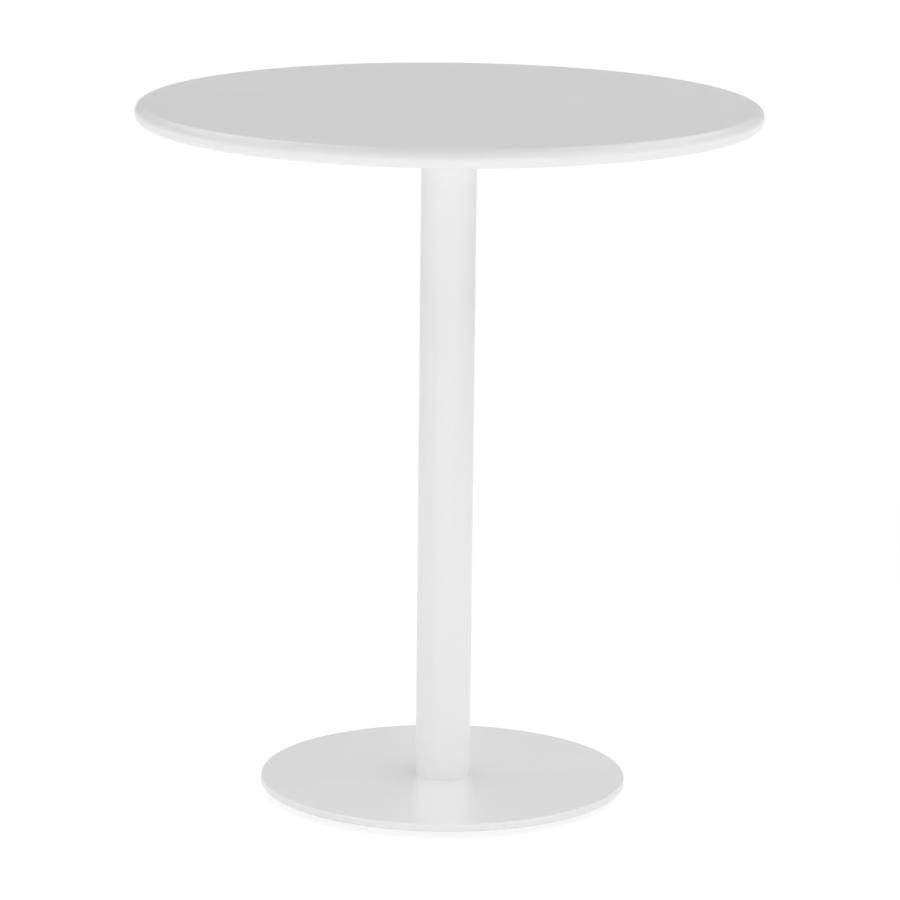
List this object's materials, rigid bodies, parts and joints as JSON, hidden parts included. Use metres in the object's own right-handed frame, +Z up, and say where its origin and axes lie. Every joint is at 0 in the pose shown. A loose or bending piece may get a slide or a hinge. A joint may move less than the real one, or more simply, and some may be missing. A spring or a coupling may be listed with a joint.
{
  "type": "cafe table",
  "caption": "Round pedestal cafe table: pressed steel top with a rolled edge, plain tubular column, flat disc base and levelling feet.",
  "frame": {"origin": "on the floor under the column's axis, with the levelling feet screwed home", "axes": "+Z up along the column; +X to the right and +Y away from the viewer in the picture. Ribs, spider arms, screws and feet lie on the diagonals between +X and +Y"},
  "size_m": [0.6749, 0.675, 0.76],
  "materials": {
    "powder_coat": "satin white powder coat",
    "zinc_plate": "bright zinc plate",
    "bare_steel": "turned steel, oiled",
    "pad_plastic": "moulded nylon, matt"
  },
  "bodies": {
    "table": {"tabletop": "powder_coat", "top_rib_1": "powder_coat", "top_rib_2": "powder_coat", "top_rib_3": "powder_coat", "top_rib_4": "powder_coat", "weld_nuts": "powder_coat", "spider": "powder_coat", "top_washers": "zinc_plate", "top_screws": "zinc_plate", "column_tube": "powder_coat", "foot_plug": "bare_steel", "base_plate": "powder_coat", "base_screws": "zinc_plate"},
    "pad_1": {"foot_pad_1": "pad_plastic"},
    "stud_1": {"foot_stud_1": "zinc_plate"},
    "pad_2": {"foot_pad_2": "pad_plastic"},
    "stud_2": {"foot_stud_2": "zinc_plate"},
    "pad_3": {"foot_pad_3": "pad_plastic"},
    "stud_3": {"foot_stud_3": "zinc_plate"},
    "pad_4": {"foot_pad_4": "pad_plastic"},
    "stud_4": {"foot_stud_4": "zinc_plate"}
  },
  "joints": [
    {"name": "foot_1_height", "type": "slide", "parent": "table", "child": "pad_1", "axis": [0, 0, -1], "range_m": [0, 0.003]},
    {"name": "foot_1_turn", "type": "hinge", "parent": "pad_1", "child": "stud_1", "pos_m": [0.11879, 0.11879, 0], "axis": [0, 0, -1], "range_deg": [0, 864]},
    {"name": "foot_2_height", "type": "slide", "parent": "table", "child": "pad_2", "axis": [0, 0, -1], "range_m": [0, 0.003]},
    {"name": "foot_2_turn", "type": "hinge", "parent": "pad_2", "child": "stud_2", "pos_m": [-0.11879, 0.11879, 0], "axis": [0, 0, -1], "range_deg": [0, 864]},
    {"name": "foot_3_height", "type": "slide", "parent": "table", "child": "pad_3", "axis": [0, 0, -1], "range_m": [0, 0.003]},
    {"name": "foot_3_turn", "type": "hinge", "parent": "pad_3", "child": "stud_3", "pos_m": [-0.11879, -0.11879, 0], "axis": [0, 0, -1], "range_deg": [0, 864]},
    {"name": "foot_4_height", "type": "slide", "parent": "table", "child": "pad_4", "axis": [0, 0, -1], "range_m": [0, 0.003]},
    {"name": "foot_4_turn", "type": "hinge", "parent": "pad_4", "child": "stud_4", "pos_m": [0.11879, -0.11879, 0], "axis": [0, 0, -1], "range_deg": [0, 864]}
  ],
  "couplings": [
    {"joint": "foot_1_height", "follows": "foot_1_turn", "m_per_rad": 0.00019894},
    {"joint": "foot_2_height", "follows": "foot_2_turn", "m_per_rad": 0.00019894},
    {"joint": "foot_3_height", "follows": "foot_3_turn", "m_per_rad": 0.00019894},
    {"joint": "foot_4_height", "follows": "foot_4_turn", "m_per_rad": 0.00019894}
  ]
}
